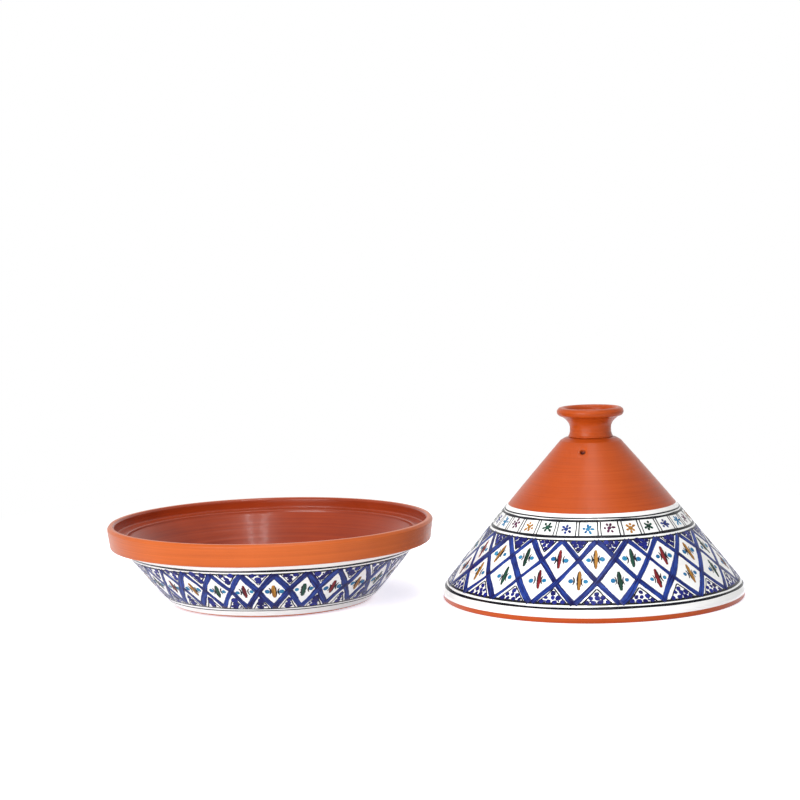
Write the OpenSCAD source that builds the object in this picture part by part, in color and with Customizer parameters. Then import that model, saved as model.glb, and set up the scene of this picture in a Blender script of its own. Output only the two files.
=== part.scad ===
// Tagine: a shallow round cooking dish and its tall conical lid, standing side by side on one surface.
// Origin: centre of the dish's foot. +Z is up, and +X runs from the dish to the lid. Millimetres.

/* [Dish] */
// Height of the dish from its foot to the top of its rim
dish_h = 81.2; // [65:0.5:110]
// Outer radius of the rim at its widest
rim_r = 162; // [150:0.5:200]
// Thickness of the rim beside the lid
rim_t = 7; // [5:0.5:10]
// Height of the rim's plain band
rim_h = 21.7; // [16:0.5:26]
// How far the band's lower edge lies inside its widest line
rim_lean = 2.5; // [0.5:0.5:5]
// How far the rim's band stands out over the wall below it
rim_overhang = 12.5; // [6:0.5:16]
// Radius of the wall at its foot
foot_r = 98; // [80:0.5:112]
// How much less the wall spreads at its top than a straight wall would, as a share of its spread
wall_belly = 0.08; // [0:0.02:0.4]
// Thickness of the floor
floor_t = 9.5; // [7:0.5:14]
// Thickness of the wall, measured level
wall_t = 10.5; // [8:0.5:14]
// Radius of the bend between the floor and the wall inside
bowl_bend_r = 22; // [8:1:30]

/* [Seat for the lid] */
// Depth of the gallery below the top of the rim
gallery_depth = 11; // [8:0.5:16]
// Width of the gallery that carries the lid
gallery_w = 11.5; // [9:0.5:14]
// Drop from the gallery to the bowl
gallery_step = 3; // [1:0.5:5]
// Play between the edge of the lid and the inside of the rim
lid_play = 5.8; // [2:0.5:8]

/* [Lid] */
// Height of the cone, from its edge to the joint with the knob
cone_h = 158.5; // [125:0.5:200]
// How much the cone draws in for each millimetre of height
cone_slope = 0.825; // [0.7:0.005:0.9]
// How far the cone's side swells out at half its height
cone_belly = 1.7; // [0:0.1:4]
// Height of the upright edge band below the cone
edge_h = 12; // [8:0.5:18]
// Width of the lid's edge, on which it stands
edge_w = 9; // [6:0.5:12]
// Thickness of the cone's wall, measured square to it
cone_t = 8; // [6:0.5:11]
// Diameter of the steam vent
vent_d = 5.5; // [3:0.5:8]
// Height of the vent's mouth below the top of the cone
vent_drop = 12; // [10:0.5:20]
// Turn of the vent about the lid's axis, from the front
vent_turn = -18; // [-180:1:180]

/* [Knob] */
// Height of the knob above the cone
knob_h = 28.5; // [22:0.5:40]
// Radius of the knob's waist
waist_r = 20.3; // [16:0.5:26]
// Height of the waist above the cone
waist_z = 8; // [5:0.5:12]
// Outer radius of the rolled lip
lip_r = 33; // [28:0.5:42]
// Radius of the roll of the lip
lip_roll = 4.3; // [3:0.1:6]
// Depth of the cup in the knob's top
cup_depth = 22; // [12:0.5:24]

/* [Glaze] */
// Thickness of the white painted glaze, measured level
glaze_t = 0.5; // [0.3:0.1:1]
// Thickness of the clear glaze inside the bowl
liner_t = 0.4; // [0.3:0.1:0.8]
// Height of the bare clay below the white glaze on the dish
dish_bare_h = 3; // [2:0.5:8]
// Height of the bare clay below the white glaze on the lid
lid_bare_h = 5; // [2:0.5:7]
// Height on the lid at which the white glaze ends
glaze_top_z = 92.5; // [40:0.5:105]

/* [Layout] */
// Clear distance between the dish and the lid that stands beside it
stand_gap = 8.3; // [4:0.5:60]
// How far the lid stands in front of the dish's centre line
stand_front = 15; // [0:1:60]

/* [Hidden] */
$fn = 128;
clay = "#c4622f";
white = "#f4f3f0";
liner = "#a5512f";
wall_steps = 10;                              // straight stretches in a curved wall
turn_steps = 6;                               // straight stretches in a bend or a roll
lip_round = 1.8;                              // rounding of the rim's edges

// Dish: heights and radii that follow from the sizes above
rim_z = dish_h - rim_h;                       // underside of the band
band_low_r = rim_r - rim_lean;                // lower edge of the band
wall_top_r = band_low_r - rim_overhang;       // where the wall meets the band
gallery_z = dish_h - gallery_depth;
bowl_top_z = gallery_z - gallery_step;
foot_bevel = 5.5;                             // how far the flat foot lies inside the wall's radius there
foot_round = 2;                               // height of the bevel round the foot

// The wall leaves the foot leaning well out and grows steeper: a parabola in height.
function spread(h, total_h, total_r) =
    let (t = h / total_h) total_r * (t * (1 + wall_belly) - wall_belly * t * t);
function wall_r(z) = foot_r + spread(z, rim_z, wall_top_r - foot_r);

// Lid: its outside fits the seat, its cone starts at the top of the edge band
lid_r = rim_r - rim_t - lid_play;             // outer radius of the edge band, before the glaze
rim_in_r = lid_r + lid_play;                  // inside of the rim
gallery_in_r = rim_in_r - gallery_w;
edge_taper = 2;                               // how far the edge band draws in below the cone
edge_round = 1.4;                             // chamfer round the edge it stands on
cone_start_r = lid_r - edge_taper;            // where the straight cone starts
level_t = cone_t * sqrt(1 + cone_slope * cone_slope);    // wall of the cone, measured level
function cone_r(z) =
    let (t = (z - edge_h) / (cone_h - edge_h))
    cone_start_r - cone_slope * (z - edge_h) + cone_belly * 4 * t * (1 - t);
function hollow_r(z) = cone_r(z) - level_t;
shoulder_h = 4;                               // the cone rounds over to the knob in this height
shoulder_z = cone_h - shoulder_h;
shoulder_w = 4;                               // width of the nearly flat ring round the knob
shoulder_fall = 1.5;                          // fall of that ring
waist_draw = 1.2;                             // how far the waist draws in above the joint
knob_foot_r = waist_r + waist_draw;           // radius of the luted joint
flare = 2.2;                                  // power of the curve from the waist out to the lip
bare_step = 8;                                // height between the last points of two stretches
crown_t = 9;                                  // clay left above the hollow
hollow_top_z = cone_h - crown_t;
hollow_round = 4;                             // rise of the rounded top of the hollow
lid_x = rim_r + stand_gap + lid_r;
lid_y = -stand_front;

// The inside of the bowl runs parallel to the wall, a wall's thickness in, until the gallery's edge
function bowl_r(z) = min(wall_r(z) - wall_t, gallery_in_r);
bowl_lean = atan2(bowl_r(floor_t + bowl_bend_r / 2) - bowl_r(floor_t), bowl_bend_r / 2);
bend_reach = bowl_bend_r * tan((90 - bowl_lean) / 2);
bend_end_z = floor_t + bend_reach * cos(bowl_lean);
bend_start_r = bowl_r(bend_end_z) - bend_reach * (1 + sin(bowl_lean));

// Points of the bowl from its centre out to the gallery's edge, lifted by t for the glaze's upper face
function bowl_line(t) = concat(
    [[0, floor_t + t]],
    [for (i = [0 : turn_steps])
        let (a = (90 - bowl_lean) * i / turn_steps, r = bowl_bend_r - t)
        [bend_start_r + r * sin(a), floor_t + bowl_bend_r - r * cos(a)]],
    [for (i = [1 : wall_steps])
        let (z = bend_end_z + (bowl_top_z - bend_end_z) * i / wall_steps) [bowl_r(z) - t, z]]);

// Points of the outside of the wall between two heights, moved out by t for the glaze's face
function wall_line(z0, z1, t) =
    [for (i = [0 : wall_steps]) let (z = z0 + (z1 - z0) * i / wall_steps) [wall_r(z) + t, z]];

// Points of the cone's side between two heights, moved out by t
function cone_line(z0, z1, t) =
    [for (i = [0 : turn_steps]) let (z = z0 + (z1 - z0) * i / turn_steps) [cone_r(z) + t, z]];

// Points of the hollow's side, a wall's thickness inside the cone
function hollow_line(z0, z1) =
    [for (i = [0 : turn_steps]) let (z = z0 + (z1 - z0) * i / turn_steps) [hollow_r(z), z]];

// Outside of the lid from the bare edge to the end of the glaze, moved out by t for the glaze's face
function lid_line(t) = concat(
    [[lid_r - edge_round / 6 + t, lid_bare_h], [lid_r + t, edge_h * 2 / 3]],
    cone_line(edge_h, glaze_top_z, t));

function reversed(list) = [for (i = [len(list) - 1 : -1 : 0]) list[i]];

module place_lid() translate([lid_x, lid_y, 0]) children();

module dish_body() color(clay)
    rotate_extrude() polygon(concat(
        [[0, 0], [foot_r - foot_bevel, 0], [wall_r(foot_round), foot_round]],
        wall_line(dish_bare_h, rim_z, 0),
        [[band_low_r - lip_round, rim_z], [band_low_r, rim_z + lip_round],
         [rim_r, dish_h - lip_round * 1.6], [rim_r - lip_round * 0.6, dish_h - lip_round * 0.4],
         [rim_r - lip_round * 1.4, dish_h], [rim_in_r + lip_round, dish_h],
         [rim_in_r, dish_h - lip_round], [rim_in_r, gallery_z],
         [gallery_in_r + 1, gallery_z], [gallery_in_r, gallery_z - 1]],
        reversed(bowl_line(0))));

module dish_painted_glaze() color(white)
    rotate_extrude() polygon(concat(
        wall_line(dish_bare_h, rim_z, glaze_t), reversed(wall_line(dish_bare_h, rim_z, 0))));

module dish_liner_glaze() color(liner)
    rotate_extrude() polygon(concat(bowl_line(0), reversed(bowl_line(liner_t))));

module lid_cone() color(clay) place_lid() difference() {
    rotate_extrude() polygon(concat(
        [[lid_r - edge_w, 0], [lid_r - edge_round, 0], [lid_r - edge_round / 4, edge_round]],
        lid_line(0),
        cone_line(glaze_top_z + bare_step, shoulder_z, 0),
        [[knob_foot_r + shoulder_w, cone_h - shoulder_fall], [knob_foot_r, cone_h], [0, cone_h]],
        [for (i = [0 : turn_steps])       // rounded top of the hollow: a quarter of an ellipse
            let (a = 90 * i / turn_steps, z = hollow_top_z - hollow_round)
            [hollow_r(z) * sin(a), z + hollow_round * cos(a)]],
        reversed(hollow_line(edge_h + edge_round, hollow_top_z - hollow_round - bare_step)),
        [[lid_r - edge_w, edge_h / 4]]));
    // Steam vent, pierced square to the wall
    rotate([0, 0, vent_turn - 90])
        translate([cone_r(cone_h - vent_drop), 0, cone_h - vent_drop])
            rotate([0, atan2(1, cone_slope), 0])
                cylinder(h = cone_t * 4, d = vent_d, center = true);
}

module lid_painted_glaze() color(white) place_lid()
    rotate_extrude() polygon(concat(lid_line(glaze_t), reversed(lid_line(0))));

module lid_knob() color(clay) place_lid() translate([0, 0, cone_h])
    rotate_extrude() {
        lip_z = knob_h - lip_roll;
        lip_c = lip_r - lip_roll;             // centre of the roll
        cup_r = lip_c - lip_roll;
        cup_z = knob_h - cup_depth;
        polygon(concat(
            [[0, 0], [knob_foot_r, 0], [waist_r, waist_z * 0.6]],
            [for (i = [0 : wall_steps])       // the flare under the lip: a power curve
                let (t = i / wall_steps)
                [waist_r + (lip_c - waist_r) * pow(t, flare), waist_z + (lip_z - lip_roll - waist_z) * t]],
            [for (i = [1 : turn_steps * 2])   // the roll, from below, outwards and over
                let (a = -90 + 270 * i / (turn_steps * 2))
                [lip_c + lip_roll * cos(a), lip_z + lip_roll * sin(a)]],
            [for (i = [wall_steps - 1 : -1 : 0])   // the cup: a parabola
                let (t = i / wall_steps) [cup_r * t, cup_z + (lip_z - cup_z) * t * t]]));
    }

dish_body();
dish_painted_glaze();
dish_liner_glaze();
lid_cone();
lid_painted_glaze();
lid_knob();
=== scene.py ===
import math
import bpy
import numpy as np
from mathutils import Matrix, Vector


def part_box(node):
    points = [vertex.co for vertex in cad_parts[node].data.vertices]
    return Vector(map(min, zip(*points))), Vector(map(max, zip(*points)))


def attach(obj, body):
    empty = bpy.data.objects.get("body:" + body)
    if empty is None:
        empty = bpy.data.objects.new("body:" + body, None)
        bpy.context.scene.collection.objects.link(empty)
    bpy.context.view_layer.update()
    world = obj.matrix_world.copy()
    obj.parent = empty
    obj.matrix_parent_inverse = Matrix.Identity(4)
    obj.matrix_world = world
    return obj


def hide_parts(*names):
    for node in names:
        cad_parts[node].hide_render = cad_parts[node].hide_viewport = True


# A painted tagine taken apart: the cooking dish, and its conical lid standing beside it. Shapes are
# worked out in millimetres and stored in metres.
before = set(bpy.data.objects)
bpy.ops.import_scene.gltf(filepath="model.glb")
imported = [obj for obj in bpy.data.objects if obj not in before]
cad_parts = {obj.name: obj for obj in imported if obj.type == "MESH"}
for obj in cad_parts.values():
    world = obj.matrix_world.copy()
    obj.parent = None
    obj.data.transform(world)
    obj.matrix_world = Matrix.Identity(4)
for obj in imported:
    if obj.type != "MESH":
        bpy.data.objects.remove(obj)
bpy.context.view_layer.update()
mm = 0.001
rng = np.random.default_rng(7)                             # the hand's small irregularities


def toLinear(hexColour):
    # sRGB hex to linear RGBA: c / 12.92 up to 0.04045, above it ((c + 0.055) / 1.055) ** 2.4
    c = np.array([int(hexColour[i:i + 2], 16) for i in (1, 3, 5)]) / 255
    lin = np.where(c <= 0.04045, c / 12.92, ((c + 0.055) / 1.055) ** 2.4)
    return (*lin.tolist(), 1.0)


def addNode(tree, kind, settings=None, links=None):
    # One node, its settings (by attribute, or by socket name or number) and the links that feed it.
    node = tree.nodes.new(kind)
    for key, value in (settings or {}).items():
        if isinstance(key, str) and hasattr(node, key):
            setattr(node, key, value)
        else:
            node.inputs[key].default_value = value
    for key, source in (links or {}).items():
        tree.links.new(source, node.inputs[key])
    return node


def newMaterial(name):
    # an empty node tree to build a finish in
    material = bpy.data.materials.new(name)
    material.use_nodes = True
    material.node_tree.nodes.clear()
    return material, material.node_tree


def makeMesh(name, verts, polygons, vectors=None, slots=None, materials=()):
    # verts (n, 3) in mm, polygons as a list of (k, sides) index arrays, vectors as attribute name
    # to (n, 3), slots as one array of material numbers for each array of polygons
    mesh = bpy.data.meshes.new(name)
    mesh.vertices.add(len(verts))
    mesh.vertices.foreach_set("co", (verts * mm).ravel())
    sides = np.concatenate([np.full(len(p), p.shape[1]) for p in polygons])
    corners = np.concatenate([p.ravel() for p in polygons])
    mesh.loops.add(len(corners))
    mesh.loops.foreach_set("vertex_index", corners.astype(np.int32))
    mesh.polygons.add(len(sides))
    mesh.polygons.foreach_set("loop_start", (np.cumsum(sides) - sides).astype(np.int32))
    if slots is not None:
        mesh.polygons.foreach_set("material_index", np.concatenate(slots).astype(np.int32))
    for key, values in (vectors or {}).items():
        mesh.attributes.new(key, "FLOAT_VECTOR", "POINT").data.foreach_set("vector", values.ravel())
    mesh.update(calc_edges=True)
    mesh.validate()
    mesh.shade_smooth()
    for material in materials:
        mesh.materials.append(material)
    piece = bpy.data.objects.new(name, mesh)
    bpy.context.scene.collection.objects.link(piece)
    return piece


def outline(corners, step):
    # Corners (r, z, fillet radius) to points: straight runs are cut at the step, and each fillet is
    # a parabola tangent to both sides, (1 - t)^2 start + 2 t (1 - t) corner + t^2 end.
    corners = np.array(corners, float)
    points = [corners[0, :2]]
    for i in range(1, len(corners) - 1):
        p, radius = corners[i, :2], corners[i, 2]
        a, b = corners[i - 1, :2] - p, corners[i + 1, :2] - p
        la, lb = np.hypot(*a), np.hypot(*b)
        a, b = a / la, b / lb
        half = math.acos(np.clip(a @ b, -1, 1)) / 2
        if radius <= 0 or half > math.pi / 2 - 0.01:
            points.append(p)
            continue
        reach = min(radius / math.tan(half), 0.45 * la, 0.45 * lb)
        t = np.linspace(0, 1, 7)[:, None]
        start, end = p + a * reach, p + b * reach
        points.extend((1 - t) ** 2 * start + 2 * t * (1 - t) * p + t ** 2 * end)
    points.append(corners[-1, :2])
    points = np.array(points)
    lengths = np.hypot(*np.diff(points, axis=0).T)
    cuts = np.maximum(1, np.ceil(lengths / step).astype(int))
    whole = [points[i] + (points[i + 1] - points[i]) * np.arange(n)[:, None] / n
             for i, n in enumerate(cuts)]
    return np.vstack(whole + [points[-1:]])


def sideways(points, closed):
    # unit normals of a profile, a quarter turn to the right of the way it runs
    if closed:
        d = np.roll(points, -1, 0) - np.roll(points, 1, 0)
    else:
        d = np.gradient(points, axis=0)
    d = d / np.maximum(np.hypot(*d.T), 1e-9)[:, None]
    return np.stack([d[:, 1], -d[:, 0]], 1)


def thrown(name, points, place, look, ridge=None, turns=360, start=0.0, vent=None, material=None,
           coated=None):
    # A profile (r, z) turned about the upright axis at place. The wheel leaves a spiral of low
    # ridges: normal offset = depth * sum of sines of (arc length / pitch + angle), times the ridge
    # mask, and the hand leaves it slightly out of round: radius * (1 + wobble * cos(2 angle)).
    # The "wheel" attribute is the angle on a unit circle, and the way along the profile in dm.
    closed = points[0, 0] > 0.01
    profile = points if closed else points[1:-1]
    rows = len(profile)
    angle = start + 2 * np.pi * np.arange(turns) / turns
    arc = np.concatenate([[0], np.cumsum(np.hypot(*np.diff(profile, axis=0).T))])
    mask = np.ones(rows) if ridge is None else ridge(profile)
    phase = arc[:, None] / look["pitch"] * 2 * np.pi
    wave = (np.sin(phase + angle) + 0.6 * np.sin(1.73 * phase + 2 * angle + 1.3)
            + 0.5 * np.sin(0.41 * phase - angle + 4.0)) / 2.1
    offset = (look["depth"] * wave * mask[:, None])[..., None] * sideways(profile, closed)[:, None, :]
    r = profile[:, 0, None] * (1 + look["wobble"] * np.cos(2 * angle + look["lean"])) + offset[..., 0]
    z = profile[:, 1, None] + offset[..., 1]
    verts = np.stack([r * np.sin(angle), -r * np.cos(angle), z], -1)
    wheel = np.stack(np.broadcast_arrays(np.sin(angle), -np.cos(angle), arc[:, None] * 0.01), -1)
    grid = np.arange(rows * turns).reshape(rows, turns)
    if closed:
        low, high = grid, np.roll(grid, -1, 0)
    else:
        low, high = grid[:-1], grid[1:]
    quads = np.stack([low, np.roll(low, -1, 1), np.roll(high, -1, 1), high], -1)
    verts, wheel = verts.reshape(-1, 3), wheel.reshape(-1, 3)
    polygons = []
    if vent:
        quads, verts, wheel, polygons = pierce(quads, grid, verts, wheel, vent)
    polygons.append(quads.reshape(-1, 4))
    if not closed:                                        # close the two poles with fans
        n = len(verts)
        poles = np.array([[0, 0, points[0, 1]], [0, 0, points[-1, 1]]])
        verts = np.vstack([verts, poles])
        wheel = np.vstack([wheel, [[0, 0, 0], [0, 0, arc[-1] * 0.01]]])
        first, last = grid[0], grid[-1]
        polygons.append(np.stack([np.full(turns, n), np.roll(first, -1), first], 1))
        polygons.append(np.stack([np.full(turns, n + 1), last, np.roll(last, -1)], 1))
    if volume(verts, polygons) < 0:
        polygons = [p[:, ::-1] for p in polygons]
    verts = verts + [place[0], place[1], 0]
    if not coated:
        return makeMesh(name, verts, polygons, {"wheel": wheel}, materials=[material])
    # a second finish on the stretch of the profile that passes the test
    covered = coated[1](profile)
    slots = [np.repeat(covered[:-1] & covered[1:], turns), np.zeros(turns), np.zeros(turns)]
    return makeMesh(name, verts, polygons, {"wheel": wheel}, slots, [material, coated[0]])


def pierce(quads, grid, verts, wheel, vent):
    # A round hole through a wall: a block of cells goes on the outside and on the inside, each is
    # filled by a collar of quads from its square border to a circle, and the circles are joined.
    tall, wide = vent["cells"]
    axis, middle = vent["axis"], vent["middle"]
    side = np.cross(axis, [0, 0, 1])
    side /= np.linalg.norm(side)
    up = np.cross(side, axis)
    keep = np.ones(quads.shape[:2], bool)
    columns = np.arange(-wide, wide + 1) % grid.shape[1]
    polygons, throats = [], []
    for row, sign in ((vent["outerRow"], 1), (vent["innerRow"], -1)):
        rows = np.arange(row - tall, row + tall + 1)
        keep[np.ix_(rows[:-1], columns[:-1])] = False
        border = np.concatenate([grid[rows[0], columns[:-1]], grid[rows[:-1], columns[-1]],
                                 grid[rows[-1], columns[:0:-1]], grid[rows[:0:-1], columns[0]]])
        n = len(border)
        flat = verts[border] - middle
        seen = np.unwrap(np.arctan2(flat @ up, flat @ side))
        corner = (np.round(seen[0] / (np.pi / 2) - 0.5) + 0.5) * np.pi / 2
        turn = corner + np.sign(seen[-1] - seen[0]) * 2 * np.pi * np.arange(n) / n
        circle = vent["radius"] * (np.cos(turn)[:, None] * side + np.sin(turn)[:, None] * up)
        depth = (flat @ axis).mean()
        lip = middle + axis * depth + circle * vent["flare"]
        throat = middle + axis * (depth - sign * vent["radius"] * (vent["flare"] - 1)) + circle
        base = len(verts)
        verts = np.vstack([verts, lip, throat])
        wheel = np.vstack([wheel, wheel[border], wheel[border]])
        loops = [border, base + np.arange(n), base + n + np.arange(n)]
        for outer, inner in zip(loops, loops[1:]):
            polygons.append(np.stack([outer, np.roll(outer, -1), np.roll(inner, -1), inner], 1))
        throats.append((loops[-1], turn))
    (outer, turnOuter), (inner, turnInner) = throats
    away = np.angle(np.exp(1j * (turnOuter[:, None] - turnInner)))
    match = inner[np.abs(away).argmin(1)]
    polygons.append(np.stack([outer, np.roll(outer, -1), np.roll(match, -1), match], 1))
    return quads[keep], verts, wheel, polygons


def volume(verts, polygons):
    # signed volume of a closed mesh, by tetrahedra to the origin
    total = 0.0
    for p in polygons:
        for i in range(1, p.shape[1] - 1):
            a, b, c = verts[p[:, 0]], verts[p[:, i]], verts[p[:, i + 1]]
            total += np.einsum("ij,ij->i", a, np.cross(b, c)).sum() / 6
    return total


def terracotta(name, pale, body, dark):
    # Red earthenware turned on the wheel and wiped with a wet sponge: satin, with fine level lines,
    # a slow change of firing colour round the pot, and sparse specks of grog.
    material, tree = newMaterial(name)
    wheel = addNode(tree, "ShaderNodeAttribute", {"attribute_name": "wheel"}).outputs["Vector"]
    place = addNode(tree, "ShaderNodeTexCoord").outputs["Object"]
    bands = addNode(tree, "ShaderNodeMapping", {"Scale": (0.5, 0.5, 60)}, {"Vector": wheel})
    wide = addNode(tree, "ShaderNodeTexNoise", {"Scale": 1.0, "Detail": 5.0, "Roughness": 0.65},
                   {"Vector": bands.outputs[0]})                  # sponge bands about 2 mm apart
    fineMap = addNode(tree, "ShaderNodeMapping", {"Scale": (1.5, 1.5, 190)}, {"Vector": wheel})
    fine = addNode(tree, "ShaderNodeTexNoise", {"Scale": 1.0, "Detail": 3.0, "Roughness": 0.6},
                   {"Vector": fineMap.outputs[0]})                # turning lines about 0.5 mm apart
    clouds = addNode(tree, "ShaderNodeTexNoise", {"Scale": 14.0, "Detail": 3.0},
                     {"Vector": place})                           # firing clouds about 70 mm apart
    grog = addNode(tree, "ShaderNodeTexVoronoi", {"Scale": 260.0},
                   {"Vector": place})                             # specks about 4 mm apart
    speck = addNode(tree, "ShaderNodeMapRange",
                    {"From Min": 0.05, "From Max": 0.13, "To Min": 1.0, "To Max": 0.0},
                    {"Value": grog.outputs["Distance"]})
    cloudShare = addNode(tree, "ShaderNodeMath", {"operation": "MULTIPLY", 1: 0.45},
                         {0: clouds.outputs[0]})
    mixed = addNode(tree, "ShaderNodeMath", {"operation": "MULTIPLY_ADD", 1: 0.55},
                    {0: wide.outputs[0], 2: cloudShare.outputs[0]})
    ramp = addNode(tree, "ShaderNodeValToRGB", links={"Fac": mixed.outputs[0]})
    for stop, at, colour in zip(ramp.color_ramp.elements, (0.25, 0.75), (dark, pale)):
        stop.position, stop.color = at, toLinear(colour)
    ramp.color_ramp.elements.new(0.5).color = toLinear(body)
    lines = addNode(tree, "ShaderNodeMapRange",
                    {"From Min": 0.3, "From Max": 0.7, "To Min": 0.93, "To Max": 1.04},
                    {"Value": fine.outputs[0]})
    tinted = addNode(tree, "ShaderNodeVectorMath", {"operation": "SCALE"},
                     {0: ramp.outputs[0], "Scale": lines.outputs[0]})
    speckShare = addNode(tree, "ShaderNodeMath", {"operation": "MULTIPLY", 1: 0.5},
                         {0: speck.outputs[0]})
    specked = addNode(tree, "ShaderNodeMix", {"data_type": "RGBA", 7: toLinear(dark)},
                      {0: speckShare.outputs[0], 6: tinted.outputs[0]})
    rough = addNode(tree, "ShaderNodeMapRange", {"To Min": 0.25, "To Max": 0.36},
                    {"Value": wide.outputs[0]})
    grain = addNode(tree, "ShaderNodeTexNoise", {"Scale": 900.0, "Detail": 2.0},
                    {"Vector": place})                            # sandy grain about 1 mm apart
    bumpA = addNode(tree, "ShaderNodeBump", {"Strength": 0.3, "Distance": 0.0005},
                    {"Height": fine.outputs[0]})
    bumpB = addNode(tree, "ShaderNodeBump", {"Strength": 0.25, "Distance": 0.0002},
                    {"Height": grain.outputs[0], "Normal": bumpA.outputs[0]})
    shader = addNode(tree, "ShaderNodeBsdfPrincipled", {"Specular IOR Level": 0.2, "IOR": 1.5},
                     {"Base Color": specked.outputs[2], "Roughness": rough.outputs[0],
                      "Normal": bumpB.outputs[0]})
    addNode(tree, "ShaderNodeOutputMaterial", links={"Surface": shader.outputs[0]})
    return material


def clearGlazed(name, pale, dark):
    # Clear lead-free glaze over the same clay: the clay shows deeper and redder through a wet gloss
    # that dips between the throwing rings.
    material, tree = newMaterial(name)
    wheel = addNode(tree, "ShaderNodeAttribute", {"attribute_name": "wheel"}).outputs["Vector"]
    place = addNode(tree, "ShaderNodeTexCoord").outputs["Object"]
    bands = addNode(tree, "ShaderNodeMapping", {"Scale": (0.6, 0.6, 45)}, {"Vector": wheel})
    wide = addNode(tree, "ShaderNodeTexNoise", {"Scale": 1.0, "Detail": 5.0, "Roughness": 0.6},
                   {"Vector": bands.outputs[0]})                  # throwing rings about 2 mm apart
    clouds = addNode(tree, "ShaderNodeTexNoise", {"Scale": 18.0, "Detail": 4.0},
                     {"Vector": place})                           # thicker pools about 55 mm apart
    cloudShare = addNode(tree, "ShaderNodeMath", {"operation": "MULTIPLY", 1: 0.4},
                         {0: clouds.outputs[0]})
    mixed = addNode(tree, "ShaderNodeMath", {"operation": "MULTIPLY_ADD", 1: 0.6},
                    {0: wide.outputs[0], 2: cloudShare.outputs[0]})
    ramp = addNode(tree, "ShaderNodeValToRGB", links={"Fac": mixed.outputs[0]})
    for stop, at, colour in zip(ramp.color_ramp.elements, (0.35, 0.65), (dark, pale)):
        stop.position, stop.color = at, toLinear(colour)
    dips = addNode(tree, "ShaderNodeBump", {"Strength": 0.12, "Distance": 0.0008},
                   {"Height": wide.outputs[0]})
    shader = addNode(tree, "ShaderNodeBsdfPrincipled",
                     {"Roughness": 0.3, "IOR": 1.5, "Specular IOR Level": 0.22, "Coat Weight": 0.17,
                      "Coat Roughness": 0.13},
                     {"Base Color": ramp.outputs[0], "Normal": dips.outputs[0]})
    addNode(tree, "ShaderNodeOutputMaterial", links={"Surface": shader.outputs[0]})
    return material


def whiteGlaze(name, white, thin):
    # Opaque tin-white glaze, dipped: a hard gloss with slow waves, and a faint warmer tint where
    # the coat runs thinner over the clay.
    material, tree = newMaterial(name)
    wheel = addNode(tree, "ShaderNodeAttribute", {"attribute_name": "wheel"}).outputs["Vector"]
    place = addNode(tree, "ShaderNodeTexCoord").outputs["Object"]
    waves = addNode(tree, "ShaderNodeTexNoise", {"Scale": 45.0, "Detail": 2.0},
                    {"Vector": place})                            # slow waves about 20 mm apart
    bands = addNode(tree, "ShaderNodeMapping", {"Scale": (0.7, 0.7, 20)}, {"Vector": wheel})
    wide = addNode(tree, "ShaderNodeTexNoise", {"Scale": 1.0, "Detail": 4.0},
                   {"Vector": bands.outputs[0]})                  # thin bands about 5 mm apart
    ramp = addNode(tree, "ShaderNodeValToRGB", links={"Fac": wide.outputs[0]})
    for stop, at, colour in zip(ramp.color_ramp.elements, (0.3, 0.5), (thin, white)):
        stop.position, stop.color = at, toLinear(colour)
    pins = addNode(tree, "ShaderNodeTexVoronoi", {"Scale": 170.0},
                   {"Vector": place})                             # pinholes about 6 mm apart
    pin = addNode(tree, "ShaderNodeMapRange", {"From Min": 0.02, "From Max": 0.07},
                  {"Value": pins.outputs["Distance"]})
    bumpA = addNode(tree, "ShaderNodeBump", {"Strength": 0.18, "Distance": 0.0012},
                    {"Height": waves.outputs[0]})
    bumpB = addNode(tree, "ShaderNodeBump", {"Strength": 0.3, "Distance": 0.0001},
                    {"Height": pin.outputs[0], "Normal": bumpA.outputs[0]})
    shader = addNode(tree, "ShaderNodeBsdfPrincipled",
                     {"Roughness": 0.12, "IOR": 1.5, "Coat Weight": 0.5, "Coat Roughness": 0.04},
                     {"Base Color": ramp.outputs[0], "Normal": bumpB.outputs[0]})
    addNode(tree, "ShaderNodeOutputMaterial", links={"Surface": shader.outputs[0]})
    return material


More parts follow.
